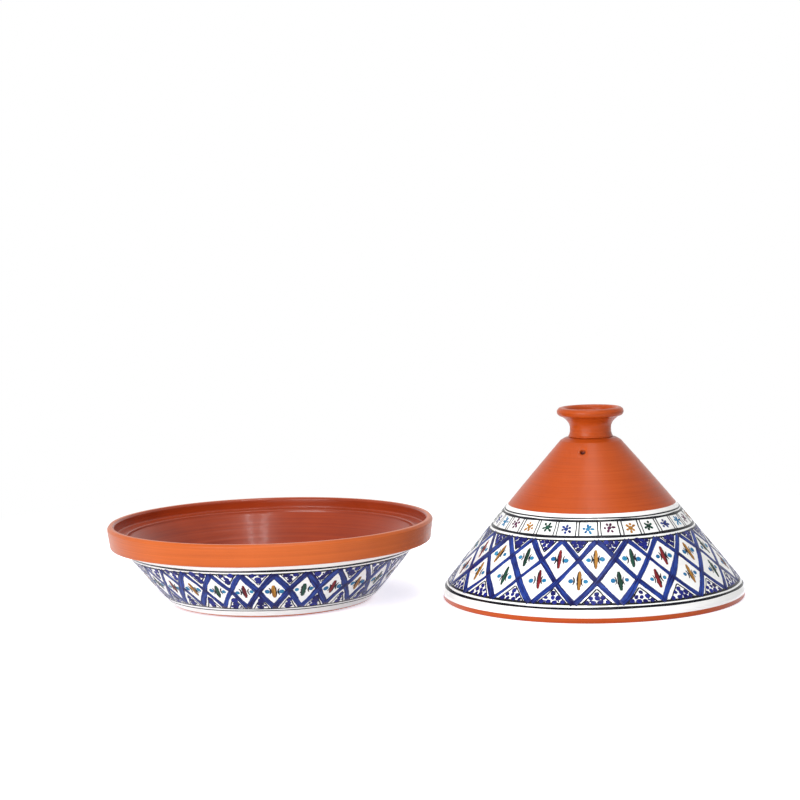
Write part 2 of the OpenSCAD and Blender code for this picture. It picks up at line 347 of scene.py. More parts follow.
def brushColour(name, pale, deep, streaks=1.0):
    # Ceramic colour laid with a soft brush under the gloss: streaks run along each stroke, and the
    # colour pools darker at its edges and where two strokes cross. The "stroke" attribute holds
    # the way along in mm plus a shift of its own, the place across from -1 to 1, and the pooling.
    material, tree = newMaterial(name)
    stroke = addNode(tree, "ShaderNodeAttribute", {"attribute_name": "stroke"}).outputs["Vector"]
    parts = addNode(tree, "ShaderNodeSeparateXYZ", links={0: stroke})
    hairs = addNode(tree, "ShaderNodeMapping", {"Scale": (0.06, 2.6, 0)}, {"Vector": stroke})
    streak = addNode(tree, "ShaderNodeTexNoise", {"Scale": 1.0, "Detail": 3.0, "Roughness": 0.6},
                     {"Vector": hairs.outputs[0]})
    across = addNode(tree, "ShaderNodeMath", {"operation": "ABSOLUTE"}, {0: parts.outputs["Y"]})
    edge = addNode(tree, "ShaderNodeMath", {"operation": "POWER", 1: 4.0}, {0: across.outputs[0]})
    thick = addNode(tree, "ShaderNodeMath", {"operation": "MULTIPLY_ADD", 1: 0.3},
                    {0: edge.outputs[0], 2: parts.outputs["Z"]})
    thin = addNode(tree, "ShaderNodeMapRange",
                   {"From Min": 0.36, "From Max": 0.72, "To Max": streaks},
                   {"Value": streak.outputs[0]})
    tone = addNode(tree, "ShaderNodeMath", {"operation": "SUBTRACT", "use_clamp": True},
                   {0: thin.outputs[0], 1: thick.outputs[0]})
    mix = addNode(tree, "ShaderNodeMix", {"data_type": "RGBA", 6: toLinear(deep), 7: toLinear(pale)},
                  {0: tone.outputs[0]})
    shader = addNode(tree, "ShaderNodeBsdfPrincipled",
                     {"Roughness": 0.24, "IOR": 1.5, "Specular IOR Level": 0.14},
                     {"Base Color": mix.outputs[2]})
    addNode(tree, "ShaderNodeOutputMaterial", links={"Surface": shader.outputs[0]})
    return material


def boxOf(node):
    # the low and high corner of a CAD node, in mm
    return np.array(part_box(node)) / mm


def atHeights(radius, heights, lift=0.0):
    # outline corners along a radius function, moved outwards by a lift
    return np.stack([radius(heights) + lift, heights, 0 * heights], 1)


def assign(pieces, body):
    # each piece stands for a CAD node, which is hidden, and is put under its body
    for piece, node, slot in pieces:
        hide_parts(node)
        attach(piece, body)


dishBox, dishGlazeBox, linerBox = map(boxOf, ("dish_body", "dish_painted_glaze", "dish_liner_glaze"))
lidBox, lidGlazeBox, knobBox = map(boxOf, ("lid_cone", "lid_painted_glaze", "lid_knob"))

dish = {
    "place": (0.0, 0.0),
    "rimRadius": dishBox[1, 0], "height": dishBox[1, 2],
    "underRim": dishGlazeBox[1, 2], "bareHeight": dishGlazeBox[0, 2],
    "glaze": 0.5, "liner": 0.4,                            # coats, measured level, mm
    "bury": 0.1,                                           # how far a coat's back lies in the clay
    "footRadius": 98.0, "bevel": 5.5,
    "belly": 0.08,                                         # how much the wall steepens upwards
    "rimLean": 2.5, "rimThick": 7.0,
    "wall": 10.5, "bend": 22.0,                            # wall, and the turn into the floor
    "galleryIn": linerBox[1, 0], "galleryDepth": 11.0,
    "bowlTop": linerBox[1, 2], "floor": linerBox[0, 2],
    "outside": {"pitch": 7.0, "depth": 0.10, "wobble": 0.0006, "lean": 0.7},
    "inside": {"pitch": 9.0, "depth": 0.10, "wobble": 0.0006, "lean": 0.7},
    "coatDepth": 0.05,                                     # the coat softens the throwing ridges
}
dish["wallTop"] = dishGlazeBox[1, 0] - dish["glaze"]


def wallRadius(z):
    # outside of the dish: a parabola in height that steepens towards the rim
    t = z / dish["underRim"]
    flare = dish["wallTop"] - dish["footRadius"]
    return dish["footRadius"] + flare * (t * (1 + dish["belly"]) - dish["belly"] * t * t)


def bowlRadius(z):
    # inside of the dish: the outside less the wall, and never past the gallery's edge
    return np.minimum(wallRadius(z) - dish["wall"], dish["galleryIn"])


def bowlCorners(lift):
    # from the gallery's edge down the wall, round the bend and along the floor to the centre
    heights = np.linspace(dish["bowlTop"], dish["floor"] + 9, 14)
    wall = atHeights(bowlRadius, heights, -lift)
    foot = bowlRadius(dish["floor"]) - lift
    return [*wall, (foot, dish["floor"] + lift, dish["bend"]), (0, dish["floor"] + lift, 0)]


def makeDish(clay, clear, white):
    # The clay's outline runs from the centre of the foot up the outside, over the rim, across the
    # gallery and down into the bowl. The two coats are closed outlines along the same curves.
    rim, top = dish["rimRadius"], dish["height"]
    under, inner = dish["underRim"], dish["rimRadius"] - dish["rimThick"]
    gallery = top - dish["galleryDepth"]
    corners = [(0, 0, 0), (dish["footRadius"] - dish["bevel"], 0, 1.0), (wallRadius(2.0), 2, 1.5),
               *atHeights(wallRadius, np.linspace(3.2, under - 1, 14)),
               (dish["wallTop"] - 0.2, under, 1.0), (rim - dish["rimLean"], under, 1.8),
               (rim, top - 2.6, 2.0), (rim - 2.0, top, 1.3), (inner + 1.6, top, 1.6),     # the lip
               (inner, top - 1.8, 1.6), (inner, gallery, 1.6), (dish["galleryIn"] + 0.3, gallery, 1.6),
               *bowlCorners(0.0)]
    # the throwing ridges fade out at the foot and are half as deep under the liner
    calm = lambda p: np.clip(p[:, 1] / 4, 0, 1) * np.where(p[:, 0] < dish["galleryIn"] - 2, 0.5, 1)
    # the rim's inner face and the gallery, which the lid sits on, carry the clear glaze too
    seat = lambda p: ((p[:, 0] < inner + 1.5) & (p[:, 0] > dish["galleryIn"] - 3)
                      & (p[:, 1] > dish["bowlTop"] - 2))
    body = thrown("dish_clay_body", outline(corners, 2.3), dish["place"], dish["outside"], calm,
                  material=clay, coated=(clear, seat))

    face = bowlCorners(dish["liner"])
    back = bowlCorners(-dish["bury"])
    corners = [*face[::-1], (dish["galleryIn"] - 0.2, dish["bowlTop"] + 0.5, 0.3), *back]
    # and in the bowl they fade out at the middle of the floor and at the gallery
    bowlCalm = lambda p: (np.clip((p[:, 0] - 12) / 20, 0, 1)
                          * np.clip((dish["bowlTop"] + 1 - p[:, 1]) / 4, 0, 1))
    bowl = thrown("dish_clear_liner", outline(corners, 2.2), dish["place"], dish["inside"], bowlCalm,
                  material=clear)

    heights = np.linspace(dish["bareHeight"], under - 0.2, 16)
    face = atHeights(wallRadius, heights, dish["glaze"])
    back = atHeights(wallRadius, heights, -dish["bury"])[::-1]
    face[0] += (-0.25, 0.1, 0)                             # the coat thins at its lower edge
    loop = outline([*face, *back, face[0]], 1.6)[:-1]
    coat = thrown("dish_white_coat", loop, dish["place"],
                  {**dish["outside"], "depth": dish["coatDepth"]}, material=white)
    assign([(body, "dish_body", "dish_clay"), (bowl, "dish_liner_glaze", "dish_clear_glaze"),
            (coat, "dish_painted_glaze", "dish_white_glaze")], "dish")
    print("dish thrown and glazed")


lid = {
    "place": tuple((lidBox[0, :2] + lidBox[1, :2]) / 2),
    "radius": (lidBox[1, 0] - lidBox[0, 0]) / 2, "height": lidBox[1, 2],
    "glaze": 0.5, "bury": 0.1, "bareHeight": lidGlazeBox[0, 2], "glazeTop": lidGlazeBox[1, 2],
    "edgeHeight": 12.0, "edgeWidth": 9.0, "taper": 2.0,
    "slope": 0.825, "swell": 1.7,                          # mm in for each mm up, and the bulge
    "wall": 8.0, "crown": 9.0,
    "ventRadius": 2.75, "ventDrop": 12.0, "ventTurn": math.radians(-18),
    "look": {"pitch": 6.0, "depth": 0.09, "wobble": 0.0005, "lean": 2.1},
    "coatDepth": 0.04,
}


def coneRadius(z):
    # outside of the lid: a cone above its upright edge, swelling out a little half way up
    up = z - lid["edgeHeight"]
    t = up / (lid["height"] - lid["edgeHeight"])
    return lid["radius"] - lid["taper"] - lid["slope"] * up + lid["swell"] * 4 * t * (1 - t)


def hollowRadius(z):
    # inside of the lid: the outside less the wall, measured level
    return coneRadius(z) - lid["wall"] * math.hypot(1, lid["slope"])


def makeLid(clay, white):
    # The clay's outline runs from the top of the hollow down its inside, round the edge and up the
    # cone to the centre of the crown. The vent is a round hole square to the wall.
    r, top, edge = lid["radius"], lid["height"], lid["edgeHeight"]
    crown = top - lid["crown"]
    edgeLine = [(r - 0.1, lid["bareHeight"], 1.0), (r, edge * 0.66, 2)]
    wall = atHeights(coneRadius, np.linspace(edge, top - 4.0, 14))
    wall[[0, -1], 2] = 3                                   # soft turns into the edge and the crown
    corners = [(0, crown, 0), (hollowRadius(crown - 2), crown, 8),
               (hollowRadius(edge + 4), edge + 4, 12),
               (r - lid["edgeWidth"], 3.5, 4), (r - lid["edgeWidth"], 0, 1.2), (r - 0.5, 0, 1.8),
               *edgeLine, *wall,
               (knob["waist"] + 5.2, top - 1.5, 2.5), (knob["waist"], top - 0.2, 0.0),
               (0, top - 0.2, 0)]
    points = outline(corners, 2.1)
    profile = points[1:-1]
    ventZ = top - lid["ventDrop"]
    square = np.array([1, lid["slope"]]) / math.hypot(1, lid["slope"])      # outward, square to the wall
    mouth = np.array([coneRadius(ventZ), ventZ])
    nearest = lambda p: int(np.hypot(*(profile - p).T).argmin())            # row of the grid
    turn = lid["ventTurn"]
    vent = {"radius": lid["ventRadius"], "flare": 1.16, "cells": (3, 8),
            "middle": np.array([mouth[0] * math.sin(turn), -mouth[0] * math.cos(turn), mouth[1]]),
            "axis": np.array([square[0] * math.sin(turn), -square[0] * math.cos(turn), square[1]]),
            "outerRow": nearest(mouth), "innerRow": nearest(mouth - square * lid["wall"])}
    # the ridges fade out at the edge it stands on and under the knob
    calm = lambda p: np.clip(p[:, 1] / 5, 0, 1) * np.clip((top - p[:, 1]) / 6, 0, 1)
    cone = thrown("lid_clay_cone", points, lid["place"], lid["look"], calm, start=turn, vent=vent,
                  material=clay)

    line = np.array([*edgeLine, *atHeights(coneRadius, np.linspace(edge, lid["glazeTop"], 9))])
    line[0, 2], line[2, 2] = 0, 3
    face, back = line + (lid["glaze"], 0, 0), line - (lid["bury"], 0, 0)
    face[0] += (-0.25, 0.15, 0)                            # the coat thins at both its edges
    face[-1] += (-0.2, -0.15, 0)
    loop = outline([*face, *back[::-1], face[0]], 1.6)[:-1]
    coat = thrown("lid_white_coat", loop, lid["place"], {**lid["look"], "depth": lid["coatDepth"]},
                  start=turn, material=white)
    assign([(cone, "lid_cone", "lid_clay"), (coat, "lid_painted_glaze", "lid_white_glaze")], "lid")
    print("lid thrown, pierced and glazed")


knob = {
    "foot": knobBox[0, 2], "top": knobBox[1, 2], "lipRadius": (knobBox[1, 0] - knobBox[0, 0]) / 2,
    "waist": 20.3, "waistUp": 8.0, "waistDraw": 1.2, "roll": 4.3, "cup": 22.0,
    "flare": 2.2,                                          # power of the curve out to the lip
    "look": {"pitch": 3.4, "depth": 0.10, "wobble": 0.004, "lean": 1.0},
}


def makeKnob(clay):
    # foot, waist, a power curve out to the lip, the roll, and a parabola down into the cup
    foot, top, waist = knob["foot"], knob["top"], knob["waist"]
    lipZ, lipR = top - knob["roll"], knob["lipRadius"] - knob["roll"]
    flareZ = foot + knob["waistUp"]
    t = np.linspace(0, 1, 9)
    flare = np.stack([waist + (lipR - waist) * t ** knob["flare"],
                      flareZ + (lipZ - knob["roll"] - flareZ) * t, 0 * t], 1)
    a = np.linspace(-math.pi / 2, math.pi, 19)[1:]
    roll = np.stack([lipR + knob["roll"] * np.cos(a), lipZ + knob["roll"] * np.sin(a), 0 * a], 1)
    s = np.linspace(1, 0, 12)[1:]
    cupZ = top - knob["cup"]
    cup = np.stack([(lipR - knob["roll"]) * s, cupZ + (lipZ - cupZ) * s * s, 0 * s], 1)
    draw = waist + knob["waistDraw"]
    corners = [(0, foot - 0.3, 0), (draw + 0.8, foot - 0.3, 0.5), (draw - 0.3, foot + 1.6, 1.5),
               (waist + 0.1, foot + 4.5, 3), *flare, *roll, *cup]
    piece = thrown("lid_clay_knob", outline(corners, 0.9), lid["place"], knob["look"], turns=240,
                   material=clay)
    assign([(piece, "lid_knob", "knob_clay")], "lid")
    print("knob thrown")


class Sheet:
    # Where the paint lies: an angle from the front (right is positive) and a height give a point on
    # the glazed surface, and a lift moves it out square to the surface. The surface is out of round
    # as its pot is, and the painter's spacing drifts by drift * sin(angle) squared.
    def __init__(self, radius, pot, shape, drift=0.0):
        self.radius, self.place, self.glaze = radius, pot["place"], pot["glaze"]
        self.shape, self.drift = shape, drift

    def lean(self, z):
        return self.radius(z + 0.5) - self.radius(z - 0.5)         # change of radius per mm of height

    def point(self, turn, z, lift):
        lean = self.lean(z)
        size = np.sqrt(1 + lean ** 2)
        turn = turn + self.drift * np.sin(turn) ** 2
        outOfRound = 1 + self.shape["wobble"] * np.cos(2 * turn + self.shape["lean"])
        r = (self.radius(z) + self.glaze) * outOfRound + lift / size
        return np.stack([self.place[0] + r * np.sin(turn), self.place[1] - r * np.cos(turn),
                         z - lift * lean / size], -1)

    def local(self, turn, z, x, y):
        # x mm along the round and y mm up the slope from a point of the sheet
        return turn + x / self.radius(z), z + y / np.sqrt(1 + self.lean(z) ** 2)


def ribbons(sheet, turn, z, width, height=0.1, pool=0.0):
    # Brush strokes as thin domed shells: arrays (strokes, points) of angle, height and width in mm.
    # Each cross-section is a low dome of five points with a flat back just under the glaze.
    turn, z, width = np.broadcast_arrays(turn, z, width)
    count, along = turn.shape
    r = sheet.radius(z)
    slant = np.sqrt(1 + sheet.lean(z) ** 2)
    dx, dy = np.gradient(turn, axis=1) * r, np.gradient(z, axis=1) * slant
    size = np.maximum(np.hypot(dx, dy), 1e-9)
    nx, ny = -dy / size, dx / size
    across = np.array([-1, -0.8, 0, 0.8, 1])
    lift = np.array([-0.06, 0.8 * height, height, 0.8 * height, -0.06])
    half = width[..., None] / 2 * across
    verts = sheet.point(turn[..., None] + nx[..., None] * half / r[..., None],
                        z[..., None] + ny[..., None] * half / slant[..., None],
                        np.broadcast_to(lift, half.shape))
    way = np.cumsum(size, 1) + rng.uniform(0, 900, (count, 1))
    pool = np.broadcast_to(pool, turn.shape) + rng.uniform(-0.12, 0.12, (count, 1))
    stroke = np.stack(np.broadcast_arrays(way[..., None], across, pool[..., None]), -1)
    grid = np.arange(count * along * 5).reshape(count, along, 5)
    low, high = grid[:, :-1], grid[:, 1:]
    quads = np.stack([low, high, np.roll(high, -1, 2), np.roll(low, -1, 2)], -1).reshape(-1, 4)
    return verts.reshape(-1, 3), [quads, grid[:, 0], grid[:, -1, ::-1]], stroke.reshape(-1, 3)


def dabs(sheet, turn, z, wide, tall, tilt=0.0, height=0.12, sides=9, rough=0.12):
    # Round touches of the brush: arrays of angle, height, half width and half height in mm. Each is a
    # centre, a ring at 0.75 of the size and a rim, closed behind by one face.
    turn, z, wide, tall = (np.ravel(a) for a in np.broadcast_arrays(turn, z, wide, tall))
    count = len(turn)
    tilt = np.broadcast_to(tilt, turn.shape)[:, None]
    a = 2 * np.pi * np.arange(sides) / sides
    size = 1 + rng.uniform(-rough, rough, (count, sides))
    x0, y0 = wide[:, None] * np.cos(a) * size, tall[:, None] * np.sin(a) * size
    x, y = x0 * np.cos(tilt) - y0 * np.sin(tilt), x0 * np.sin(tilt) + y0 * np.cos(tilt)
    rings = []
    for share, lift in ((0.0, height), (0.75, 0.8 * height), (1.0, -0.06)):
        xs, ys = (x * share, y * share) if share else (x[:, :1] * 0, y[:, :1] * 0)
        t, h = sheet.local(turn[:, None], z[:, None], xs, ys)
        rings.append(sheet.point(t, h, np.full(t.shape, lift)))
    verts = np.concatenate(rings, 1)
    per = 1 + 2 * sides
    base = np.arange(count)[:, None] * per
    inner, outer = base + 1 + np.arange(sides), base + 1 + sides + np.arange(sides)
    fan = np.stack([np.broadcast_to(base, inner.shape), inner, np.roll(inner, -1, 1)], -1).reshape(-1, 3)
    skirt = np.stack([inner, outer, np.roll(outer, -1, 1), np.roll(inner, -1, 1)], -1).reshape(-1, 4)
    shift = rng.uniform(0, 900, (count, 1))
    y = np.concatenate([np.zeros((count, 1)), np.full((count, sides), 0.7), np.ones((count, sides))], 1)
    pool = rng.uniform(-0.15, 0.25, (count, 1))
    stroke = np.stack(np.broadcast_arrays(shift + y * 3, y, pool), -1)
    return verts.reshape(-1, 3), [fan, skirt, outer[:, ::-1]], stroke.reshape(-1, 3)


def paintPiece(name, layers, body):
    # layers of (material, shells): all shells of a piece become one mesh, a slot for each colour
    verts, polygons, strokes, slots, materials, base = [], [], [], [], [], 0
    for material, shells in layers:
        for v, faces, stroke in shells:
            if volume(v, faces) < 0:
                faces = [f[:, ::-1] for f in faces]
            verts.append(v)
            strokes.append(stroke)
            polygons.extend(f + base for f in faces)
            slots.extend(np.full(len(f), len(materials)) for f in faces)
            base += len(v)
        materials.append(material)
    piece = makeMesh(name, np.vstack(verts), polygons, {"stroke": np.vstack(strokes)}, slots, materials)
    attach(piece, body)
    print(f"{name}: {len(piece.data.polygons)} faces")


def wander(count, points, size, knots=5):
    # a slow hand tremor: smooth random offsets for each stroke, as a sum of a few half waves
    t = np.linspace(0, 1, points)
    k = np.arange(1, knots + 1)
    return (rng.normal(0, size, (count, knots)) / k) @ np.sin(np.pi * k[:, None] * t)


def circles(sheet, heights, widths, points=360):
    # Thin banding lines, drawn with the pot turning: the height and the width of each are a sum of
    # a few whole waves round the pot.
    a = 2 * np.pi * np.arange(points) / points
    heights, widths = np.array(heights)[:, None], np.array(widths)[:, None]
    n = len(heights)
    waver = lambda size, waves: sum(
        rng.normal(0, size, (n, 1)) * np.cos(k * a + rng.uniform(0, 6, (n, 1))) for k in waves)
    rise = waver(0.10, (1, 2, 3, 7))
    press = 1 + waver(0.07, (4, 9, 17))
    turn = np.broadcast_to(a, (n, points))
    # closed rings: the angle's step is even all round, so its gradient is taken on an unrolled copy
    wide = np.concatenate([turn[:, -1:] - 2 * np.pi, turn, turn[:, :1] + 2 * np.pi], 1)
    z = heights + rise
    zWide = np.concatenate([z[:, -1:], z, z[:, :1]], 1)
    wWide = np.concatenate([press[:, -1:], press, press[:, :1]], 1) * widths
    verts, _, stroke = ribbons(sheet, wide, zWide, wWide, 0.09)
    verts, stroke = (v.reshape(n, points + 2, 5, 3)[:, 1:-1].reshape(-1, 3) for v in (verts, stroke))
    grid = np.arange(n * points * 5).reshape(n, points, 5)
    high = np.roll(grid, -1, 1)
    quads = np.stack([grid, high, np.roll(high, -1, 2), np.roll(grid, -1, 2)], -1).reshape(-1, 4)
    return verts, [quads], stroke


def lattice(sheet, look):
    # Two families of slanting bands from the top line to the bottom line, through every crossing:
    # angle = start +- half a pitch for each row, plus the hand's tremor.
    n, rows = look["count"], look["rows"]
    pitch = 2 * np.pi / n
    t = np.linspace(0, 1, 8 * rows + 1)
    z = look["top"] + (look["bottom"] - look["top"]) * t ** look["sag"]       # lower rows are taller
    crossing = np.abs(np.cos(np.pi * rows * t)) ** 14            # 1 at each crossing, 0 between
    start = look["phase"] + pitch * np.arange(n)[:, None] + rng.normal(0, 0.004, (n, 1))
    shells = []
    for way in (1, -1):
        turn = start + way * pitch * rows / 2 * t + wander(n, len(t), 0.0075)
        width = look["bandTop"] + (look["bandBottom"] - look["bandTop"]) * t
        width = width * (1 + rng.normal(0, 0.06, (n, 1)) + wander(n, len(t), 0.14, 7))
        height = 0.11 if way == 1 else 0.13                # the second family lies over the first
        shells.append(ribbons(sheet, turn, z, width, height, 0.32 * crossing))
    return shells


def berries(sheet, look, level, apex, centres):
    # A triangle between the bands and a border line: two thin strokes a gap inside the bands, and rows
    # of dark touches between them, fewer towards the apex. Half width at a share t of the height is
    # half a pitch * (1 - t) less the gap, the pitch and the gap both measured level.
    n = look["count"]
    halfTurn = math.pi / n                                 # half a pitch, as an angle
    slant = math.hypot(1, sheet.lean((apex + level) / 2))
    gap = look["inset"] / math.cos(math.atan2(halfTurn * sheet.radius(level), abs(apex - level) * slant))
    end = 1 - gap / sheet.radius(apex) / halfTurn
    halfWidth = lambda t: halfTurn * (1 - t) - gap / sheet.radius(level + (apex - level) * t)
    shells, outlines = [], []
    t = np.linspace(0, end, 9)[None]
    for side in (-1, 1):
        turn = centres[:, None] + side * halfWidth(t) + wander(n, 9, 0.0025)
        press = look["line"] * (1 + rng.normal(0, 0.12, (n, 1)))
        outlines.append(ribbons(sheet, turn, level + (apex - level) * t, press, 0.09))
    size, rowCount = look["berry"], look["berryRows"]
    for row in range(rowCount):
        share = end * (row + 0.5) / (rowCount + 0.6)
        z = level + (apex - level) * share
        room = max(0.0, halfWidth(share) * sheet.radius(z) - size * 0.95)
        many = max(1, min(look["berryBase"] - row, 1 + int(2 * room / (size * 1.45))))
        x = np.linspace(-room, room, many) if many > 1 else np.zeros(1)
        x = x + rng.normal(0, size * 0.14, (n, many))
        rise = rng.normal(0, size * 0.10, (n, many)) / slant
        big = size * rng.uniform(0.78, 1.12, (n, many))
        shells.append(dabs(sheet, centres[:, None] + x / sheet.radius(z), z + rise, big,
                           big * rng.uniform(0.78, 1.05, (n, many)), rng.uniform(-0.8, 0.8, n * many)))
    x = rng.uniform(-1, 1, (n, 4)) * halfWidth(0.1) * 0.9            # specks along the border
    speck = size * rng.uniform(0.28, 0.5, (n, 4))
    z = level + (apex - level) * rng.uniform(0.04, 0.16, (n, 4))
    shells.append(dabs(sheet, centres[:, None] + x, z, speck, speck, rough=0.2, sides=7))
    return shells, outlines


def motifs(sheet, look, turns, height, first):
    # In each diamond: an upright spindle of colour with a ragged dark edge, two dark commas that
    # curve away from it, and a turquoise touch at each side. Spindle colours follow the cycle, and
    # a spindle's width is wide * sin(pi t) ** 0.32.
    n, cycle = len(turns), look["cycle"]
    t = np.linspace(0, 1, 15)
    long, wide = look["spindle"], look["spindleWidth"]
    lean = rng.normal(0, 0.09, (n, 1))
    y = (t - 0.5)[None] * long + rng.normal(0, 0.5, (n, 1))
    x = lean * y + rng.normal(0, 0.5, (n, 1))
    swell = np.sin(np.pi * np.clip(t, 0.02, 0.98)) ** 0.32
    width = wide * swell * (1 + rng.normal(0, 0.10, (n, len(t)))) * rng.uniform(0.88, 1.1, (n, 1))
    turn, z = sheet.local(turns[:, None], height, x, y)
    colours = {}
    for k in range(len(cycle)):
        colour, every = cycle[(first + k) % len(cycle)], slice(k, None, len(cycle))
        colours[colour] = [ribbons(sheet, turn[every], z[every], width[every], 0.14)]
    shift = rng.choice([-1, 1], (n, 1)) * wide * 0.38
    turn, z = sheet.local(turns[:, None], height, x + shift * swell, y * rng.uniform(0.75, 0.95, (n, 1)))
    dark = [ribbons(sheet, turn, z, 0.30 * wide * swell * (1 + rng.normal(0, 0.3, (n, len(t)))), 0.17)]
    s = np.linspace(-1, 1, 9)
    blue = []
    for side in (-1, 1):
        bow = side * (wide * 0.64 + look["comma"] * 0.45 * s ** 2)
        x = bow[None] + rng.normal(0, 0.35, (n, 1)) + lean * s * 4
        y = (s * look["comma"] * 1.45)[None] + rng.normal(0, 0.5, (n, 1))
        turn, z = sheet.local(turns[:, None], height, x, y)
        brush = look["brush"] * (0.35 + 0.65 * np.cos(s * 1.35)) * rng.uniform(0.8, 1.2, (n, 1))
        dark.append(ribbons(sheet, turn, z, brush, 0.12))
        x = side * look["dotOut"] + rng.normal(0, 0.4, n)
        turn, z = sheet.local(turns, height, x, rng.normal(0, 0.5, n))
        big = look["dot"] * rng.uniform(0.85, 1.15, n)
        blue.append(dabs(sheet, turn, z, big, big * look["dotTall"], rng.uniform(-0.4, 0.4, n),
                         sides=12, rough=0.06))
    return colours, dark, blue


def frieze(sheet, look):
    # A ring of small fields between double upright lines, each with one star flower: a touch in the
    # middle and six short petals round it. Flower colours follow the cycle.
    n, cycle = look["count"], look["cycle"]
    pitch = 2 * np.pi / n
    order = np.arange(n) - n // 2                          # the break in the cycle falls at the back
    edges = look["phase"] + pitch * order + rng.normal(0, 0.008, n)
    t = np.linspace(0, 1, 5)
    black = []
    for side in (-1, 1):
        turn = edges[:, None] + side * look["pairGap"] / 2 / sheet.radius(look["bottom"])
        turn = turn + wander(n, 5, 0.002) + rng.normal(0, 0.002, (n, 1)) * t
        z = look["bottom"] + (look["top"] - look["bottom"]) * t
        black.append(ribbons(sheet, turn, z, look["upright"] * rng.uniform(0.8, 1.2, (n, 1)), 0.09))
    middle = (look["top"] + look["bottom"]) / 2
    flowers = {}
    for k, colour in enumerate(cycle):
        turns = edges[(order + look["shift"]) % len(cycle) == k] + pitch / 2
        m = len(turns)
        turns = turns + rng.normal(0, 0.006, m)
        heart = look["heart"] * rng.uniform(0.85, 1.15, m)
        z = middle + rng.normal(0, 0.4, m)
        flowers[colour] = [dabs(sheet, turns, z, heart, heart, rng.uniform(0, 1, m),
                                sides=8, rough=0.15)]
        spin = rng.uniform(0, 1, m)
        for petal in range(6):
            a = spin + petal * math.pi / 3 + rng.normal(0, 0.12, m)
            far = look["petal"] * rng.uniform(0.82, 1.15, m)
            petalTurn, petalZ = sheet.local(turns, z, far * np.cos(a), far * np.sin(a))
            long = look["petalLong"] * rng.uniform(0.7, 1.2, m)
            flowers[colour].append(dabs(sheet, petalTurn, petalZ, long, look["petalWide"], a, sides=7))
    return black, flowers


dishPaint = {                                              # lengths in mm, heights from the table
    "count": 28, "rows": 2, "phase": math.radians(4.5), "bottom": 12.0, "top": 49.4, "sag": 1.0,
    "drift": math.radians(3.0),
    "bandTop": 6.6, "bandBottom": 6.1, "inset": 4.6, "line": 1.3,
    "berry": 3.9, "berryRows": 3, "berryBase": 5,
    "spindle": 17.5, "spindleWidth": 5.0, "comma": 3.1, "brush": 1.8,
    "dotOut": 6.6, "dot": 2.6, "dotTall": 1.1,
    "cycle": ("ochre", "green", "maroon"),
    "lines": [(52.7, 2.8), (49.3, 2.4), (11.3, 1.8), (8.8, 1.5)],           # height and width
}


def paintDish(paints):
    # one row of diamonds, with triangles above and below at every crossing
    sheet = Sheet(wallRadius, dish, dish["outside"], dishPaint["drift"])
    look = dishPaint
    n, pitch = look["count"], 2 * math.pi / look["count"]
    middle = (look["top"] + look["bottom"]) / 2
    centres = look["phase"] + pitch * (np.arange(n) - n // 2)
    bands = lattice(sheet, look)
    upper, upperLines = berries(sheet, look, look["top"], middle, centres + pitch / 2)
    lower, lowerLines = berries(sheet, look, look["bottom"], middle, centres + pitch / 2)
    colours, dark, blue = motifs(sheet, look, centres, middle, -(n // 2))
    lines = circles(sheet, *zip(*look["lines"]))
    layers = [(paints[c], colours[c]) for c in colours]
    paintPiece("dish_lattice_paint", [(paints["cobalt"], bands)], "dish")
    paintPiece("dish_berry_paint", [(paints["navy"], upper + lower)], "dish")
    paintPiece("dish_line_paint", [(paints["black"], [lines, *upperLines, *lowerLines])],
               "dish")
    paintPiece("dish_motif_paint", [*layers, (paints["black"], dark), (paints["turquoise"], blue)],
               "dish")


lidPaint = {
    "count": 21, "rows": 3, "phase": math.radians(-4.0), "lowShift": math.radians(1.0),
    "bottom": 17.0, "top": 69.5, "sag": 1.1,
    "bandTop": 5.6, "bandBottom": 6.1, "inset": 4.8, "line": 1.5,
    "berry": 3.0, "berryUpper": 1.05, "berryRows": 3, "berryBase": 4,
    "spindle": 20.0, "spindleWidth": 4.7, "comma": 2.9, "brush": 1.6,
    "dotOut": 6.7, "dot": 2.6, "dotTall": 0.95,
    "cycle": ("ochre", "green", "maroon"),
    "lines": [(13.5, 2.9), (17.0, 2.8), (69.5, 2.2), (72.9, 3.1), (86.3, 2.6), (88.9, 1.5)],
}
friezePaint = {
    "count": 29, "phase": math.radians(-1.1), "bottom": 73.2, "top": 86.2,
    "pairGap": 3.2, "upright": 1.3,
    "heart": 2.4, "petal": 3.9, "petalLong": 2.15, "petalWide": 1.5, "shift": 2,
    "cycle": ("cobalt", "turquoise", "plum", "ochre", "green"),
}


